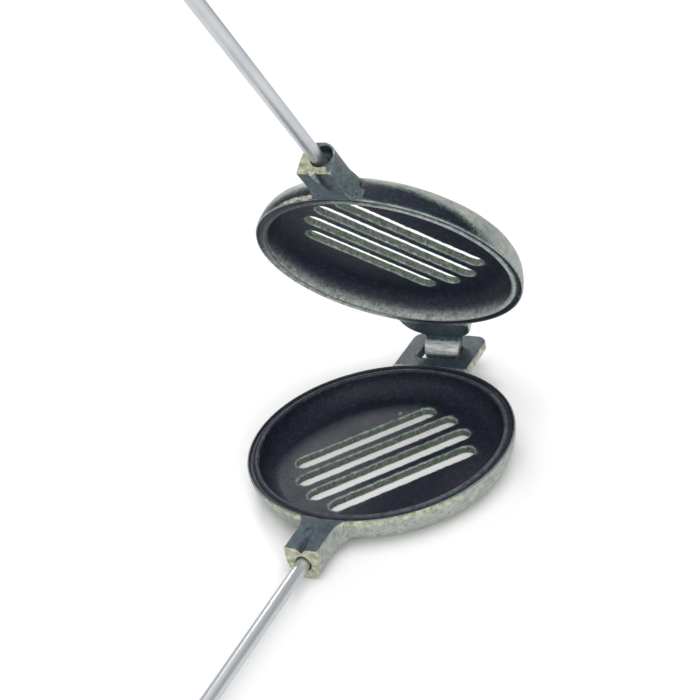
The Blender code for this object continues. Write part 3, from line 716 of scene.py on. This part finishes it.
def wood_material():
    m, nt, b = node_material("turned_hardwood")
    g = G(nt)
    warp = g.noise(g.co((55, 6, 55)), 1.0, 3.0, 0.5)
    # growth rings: distance from a pith line that lies off the grip's axis
    sep = nt.nodes.new("ShaderNodeSeparateXYZ")
    nt.links.new(g.co((1, 1, 1)), sep.inputs[0])
    rings = nt.nodes.new("ShaderNodeTexWave")
    rings.wave_type = 'BANDS'
    rings.bands_direction = 'X'
    rings.inputs["Scale"].default_value = 95.0
    rings.inputs["Distortion"].default_value = 5.5
    rings.inputs["Detail"].default_value = 3.0
    rings.inputs["Detail Scale"].default_value = 1.4
    nt.links.new(g.co((1, 0.10, 0.55), (0, 0.5, 0.06)), rings.inputs["Vector"])
    fibre = g.noise(g.co((1500, 45, 1500)), 1.0, 4.0, 0.6)
    pores = g.noise(g.co((2600, 130, 2600)), 1.0, 2.0, 0.5)
    col = g.ramp(rings.outputs["Fac"], [(0.0, (0.300, 0.142, 0.058)), (0.55, (0.400, 0.205, 0.090)), (1.0, (0.215, 0.092, 0.036))])
    col = g.mix(g.math('MULTIPLY', fibre, 0.45), col, (0.50, 0.29, 0.14))
    col = g.mix(g.ramp(pores, [(0.60, 0.0), (0.70, 0.75)]), col, (0.11, 0.05, 0.022))
    col = g.mix(g.ramp(warp, [(0.42, 0.0), (0.8, 0.35)]), col, (0.20, 0.095, 0.04))
    nt.links.new(col, b.inputs["Base Color"])
    nt.links.new(g.math('ADD', g.math('MULTIPLY', fibre, 0.22), 0.34), b.inputs["Roughness"])
    b.inputs["Coat Weight"].default_value = 0.25
    b.inputs["Coat Roughness"].default_value = 0.22
    n1 = g.bump(fibre, 0.25, 0.00012)
    nt.links.new(g.bump(g.ramp(pores, [(0.58, 1.0), (0.70, 0.0)]), 0.35, 0.00012, n1), b.inputs["Normal"])
    return m


IRON, RODMAT, ZINC, WOOD = iron_material(), rod_material(), zinc_material(), wood_material()


def finish_piece(ob, name, mat, body, nodes, lid=False):
    """Puts a made piece on show: name, material, rest pose, body and the nodes it stands for."""
    if lid:
        ob.data.transform(LID)
    ob.name = name
    ob.data.name = name
    ob.data.materials.clear()
    ob.data.materials.append(mat)
    work.objects.unlink(ob)
    shown.objects.link(ob)
    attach(ob, body)
    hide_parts(*nodes)
    return ob


# ---------------------------------------------------------------- pieces
low = cast_skin(lower_casting(), False, seed=0.0)
finish_piece(low, "lower_half_casting", IRON, "lower_half", ["lower_pan"])
upp = cast_skin(upper_casting(), True, seed=37.0)
finish_piece(upp, "upper_half_casting", IRON, "upper_half", ["upper_pan"], lid=True)


def rounded_end_rod(z):
    """Drawn rod with a small chamfer at each end, laid along Y."""
    L = ROD_IN - ROD_OUT
    c = 0.5
    prof = [(0, 0), (ROD_R - c, 0), (ROD_R - 0.12, -c + 0.12), (ROD_R, -c)]
    k = 40
    prof += [(ROD_R, -c - (L - 2 * c) * i / k) for i in range(1, k)]
    prof += [(ROD_R, -L + c), (ROD_R - 0.12, -L + c - 0.12), (ROD_R - c, -L), (0, -L)]
    ob = turn("rod", prof, 48, 'Y', (0, ROD_IN, z))
    return ob


def grip(z):
    L = GRIP_Y0 - GRIP_Y1
    sp = 6.3
    ctrl = [(7.4, 14.2), (9.2, 20.0), (10.3, 32.0), (GRIP_R, 60.0), (GRIP_R, 88.0), (10.4, 106.0), (9.2, 117.0)]
    xs, rs = np.array([c[1] for c in ctrl]), np.array([c[0] for c in ctrl])
    # monotone smooth swell through the control radii
    prof = [(0, 0), (sp - 0.4, 0), (sp, -0.5), (sp, -13.8), (6.9, -14.0), (7.4, -14.5)]
    for i in range(1, 60):
        x = 14.5 + (117.0 - 14.5) * i / 60
        k = np.interp(x, xs, rs)
        prof.append((float(k), -x))
    # soften the profile by repeated averaging
    head, tail = prof[:6], prof[6:]
    rr = np.array([q[0] for q in tail])
    for _ in range(25):
        rr[1:-1] = 0.25 * rr[:-2] + 0.5 * rr[1:-1] + 0.25 * rr[2:]
    tail = [(float(a), q[1]) for a, q in zip(rr, tail)]
    # two shallow turned rings behind the ferrule
    out = []
    for a, y in tail:
        out.append((a, y))
    end = [(9.2 * math.cos(t) ** 0.75, -117.0 - (L - 117.0) * math.sin(t)) for t in np.linspace(0.12, math.pi / 2 - 0.05, 12)]
    prof = head + out + end + [(0, -L)]
    ob = turn("grip", prof, 96, 'Y', (0, GRIP_Y0, z))
    ops = []
    for sg in (1, -1):
        lo, hi = sorted((z + sg * GRIP_FLAT, z + sg * (GRIP_FLAT + 6)))
        ops.append((prism("flat", [(-15, GRIP_Y1 - 2), (15, GRIP_Y1 - 2), (15, GRIP_Y0 + 2), (-15, GRIP_Y0 + 2)], lo, hi), 'DIFFERENCE'))
    for y, depth in ((-24.0, 0.45), (-27.0, 0.45)):
        rad = float(np.interp(-y, xs, rs))
        ops.append((turn("ring", [(rad + 2, 0.9), (rad - depth, 0.0), (rad + 2, -0.9)], 96, 'Y', (0, GRIP_Y0 + y, z)), 'DIFFERENCE'))
    ops.append((rod_solid("gbore", ROD_R + 0.3, (0, ROD_OUT - 1.0, z), (0, GRIP_Y0 + 3, z)), 'DIFFERENCE'))
    ops.append((rod_solid("pinhole", 1.5, (-14, PIN_Y, z), (14, PIN_Y, z), 24), 'DIFFERENCE'))
    combine(ob, ops)
    m = ob.modifiers.new("remesh", 'REMESH')
    m.mode = 'VOXEL'
    m.voxel_size = 0.45 * MM
    bake(ob)
    m = ob.modifiers.new("smooth", 'SMOOTH')
    m.factor = 0.5
    m.iterations = 3
    bake(ob)
    ob.data.shade_smooth()
    return ob


def ferrule(z):
    sp = 6.3
    prof = [(ROD_R + 0.3, 0.3), (sp + 0.3, 0.3), (sp + 0.3, -13.4), (sp + 0.45, -13.6), (FERRULE_R - 0.15, -13.6),
            (FERRULE_R, -13.45), (FERRULE_R, -12.2), (FERRULE_R - 0.28, -11.9), (FERRULE_R - 0.28, -11.4), (FERRULE_R, -11.1),
            (FERRULE_R, -3.2), (FERRULE_R - 0.28, -2.9), (FERRULE_R - 0.28, -2.4), (FERRULE_R, -2.1), (FERRULE_R, 0.4)]
    prof += [(FERRULE_R - 1.1 + 1.1 * math.cos(t), 0.4 + 1.2 * math.sin(t)) for t in np.linspace(0.2, math.pi / 2, 7)]
    prof += [(ROD_R + 0.6, 1.6), (ROD_R + 0.3, 1.35)]
    return turn("ferrule", prof, 72, 'Y', (0, GRIP_Y0, z))


def grip_pin(z):
    L = 10.3
    prof = [(0, L), (0.6, L - 0.02), (1.0, L - 0.16), (1.2, L - 0.45), (1.2, -L + 0.45), (1.0, -L + 0.16), (0.6, -L + 0.02), (0, -L)]
    ob = turn("pin", prof, 32)
    ob.data.transform(Matrix.Translation((0, PIN_Y * MM, z * MM)) @ Matrix.Rotation(math.pi / 2, 4, 'Y'))
    return ob


def sharp(ob, deg=35):
    ob.data.shade_smooth()
    ob.data.set_sharp_from_angle(angle=math.radians(deg))
    return ob


for tag, z, body, is_lid in (("lower", ROD_Z, "lower_half", False), ("upper", ROD_Z_UP, "upper_half", True)):
    finish_piece(sharp(rounded_end_rod(z)), tag + "_rod_bright", RODMAT, body, [tag + "_rod"], is_lid)
    finish_piece(grip(z), tag + "_grip_wood", WOOD, body, [tag + "_grip"], is_lid)
    finish_piece(sharp(ferrule(z)), tag + "_ferrule_cap", ZINC, body, [tag + "_ferrule"], is_lid)
    finish_piece(sharp(grip_pin(z)), tag + "_pin_head", ZINC, body, [tag + "_grip_pin"], is_lid)

# keeper link, drawn latched and swung out to +X
span = ROD_Z_UP - ROD_Z
kr, kw = ROD_R + 0.3, 6.6
ko = arc(0, 0, kw, 180, 360, 28)
ko += [(kw, span - 5.2)] + arc(kw - 1.2, span - kr - 1.25, 1.2, 0, 90, 5) + [(0.0, span - kr - 0.05)]
ko += arc(0, span, kr, 270, 90, 24)[1:]
ko += [(kw - 1.2, span + kr + 0.05), (kw - 0.1, span + kr + 0.75), (kw - 0.5, span + 5.6), (kw - 1.6, span + 6.6), (3.0, span + 7.3)]
ko += [(0, span + 7.4), (-3.0, span + 7.1), (-kw + 1.4, span + 5.9), (-kw + 0.3, span + 4.1), (-kw, span + 2.0)]
ko = [(-x, z) for x, z in ko]
keeper = prism("keeper", ko, KEEPER_Y - 1.0, KEEPER_Y + 1.0, 'Y', bevel=0.0)
combine(keeper, [(rod_solid("khole", kr, (0, KEEPER_Y - 4, 0), (0, KEEPER_Y + 4, 0), 48), 'DIFFERENCE')])
m = keeper.modifiers.new("bevel", 'BEVEL')
m.width = 0.35 * MM
m.segments = 3
m.limit_method = 'ANGLE'
m.angle_limit = math.radians(50)
bake(keeper)
keeper.data.transform(Matrix.Translation((0, 0, ROD_Z * MM)) @ Matrix.Rotation(math.radians(90), 4, 'Y'))
finish_piece(sharp(keeper), "keeper_plate", ZINC, "keeper", ["keeper_link"])
for nm in ("front", "rear"):
    c_lo, c_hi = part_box("keeper_collar_" + nm)
    y0, w = c_lo.y / MM, (c_hi.y - c_lo.y) / MM
    ri, ro = ROD_R + 0.3, (c_hi.x - c_lo.x) / 2 / MM
    prof = [(ri + 0.2, 0.0), (ro - 0.6, 0.0), (ro - 0.15, 0.15), (ro, 0.6), (ro, 1.5), (ro - 0.3, 1.7), (ro - 0.3, 2.3), (ro, 2.5),
            (ro, w - 0.6), (ro - 0.15, w - 0.15), (ro - 0.6, w), (ri + 0.2, w), (ri, w - 0.2), (ri, 0.2)]
    finish_piece(sharp(turn("collar", prof, 56, 'Y', (0, y0, ROD_Z))), "keeper_collar_" + nm + "_ring", ZINC, "lower_half",
                 ["keeper_collar_" + nm])

# ---------------------------------------------------------------- floor, light, camera
bm = bmesh.new()
bmesh.ops.create_grid(bm, x_segments=2, y_segments=2, size=6.0)
floor = make("floor", bm, bpy.context.scene.collection)
floor.location = (0, 0, -0.0002)
fm, fnt, fb = node_material("pale_floor")
fb.inputs["Base Color"].default_value = (0.86, 0.86, 0.86, 1)
fb.inputs["Roughness"].default_value = 0.9
fb.inputs["Specular IOR Level"].default_value = 0.1
floor.data.materials.append(fm)

world = bpy.data.worlds.new("studio")
bpy.context.scene.world = world
world.use_nodes = True
bg = world.node_tree.nodes["Background"]
bg.inputs["Color"].default_value = (1, 1, 1, 1)
bg.inputs["Strength"].default_value = 0.50


def area(name, loc, target, size, power, size_y=None):
    l = bpy.data.lights.new(name, 'AREA')
    l.energy = power
    l.shape = 'RECTANGLE'
    l.size = size
    l.size_y = size_y or size
    o = bpy.data.objects.new(name, l)
    o.location = loc
    o.rotation_euler = (Vector(loc) - Vector(target)).to_track_quat('Z', 'Y').to_euler()
    bpy.context.scene.collection.objects.link(o)
    return o


area("top", (0.25, -0.1, 1.5), (0, -0.05, 0.0), 1.3, 13)
area("key", (1.0, -1.1, 0.75), (0, 0, 0.03), 0.5, 10)
area("left_back", (-0.85, 1.30, 0.95), (0, -0.2, 0.1), 0.45, 11)
area("front", (-0.5, -1.5, 0.7), (0, -0.1, 0.05), 0.9, 6)

# the camera: the fitted viewing angle of the reference, in degrees and millimetres
CAM = dict(az=31.09, el=29.16, roll=-12.16, dist=600.0, tx=-6.07, tz=47.94, f=2.159)
a, e, ro = (math.radians(CAM[k]) for k in ("az", "el", "roll"))
back = Vector((math.sin(a) * math.cos(e), -math.cos(a) * math.cos(e), math.sin(e)))
right = Vector((math.cos(a), math.sin(a), 0))
up = back.cross(right)
r2 = math.cos(ro) * right + math.sin(ro) * up
u2 = -math.sin(ro) * right + math.cos(ro) * up
pos = (Vector((CAM["tx"], 0, CAM["tz"] + PZ)) + CAM["dist"] * back) * MM
cam = bpy.data.cameras.new("camera")
cam.sensor_width = 36.0
cam.lens = CAM["f"] * CAM["dist"] / 700 * 36
cam.clip_start = 0.01
camera = bpy.data.objects.new("camera", cam)
camera.matrix_world = Matrix(((r2.x, u2.x, back.x, pos.x), (r2.y, u2.y, back.y, pos.y), (r2.z, u2.z, back.z, pos.z), (0, 0, 0, 1)))
bpy.context.scene.collection.objects.link(camera)
bpy.context.scene.camera = camera
bpy.context.scene.view_settings.view_transform = 'Standard'
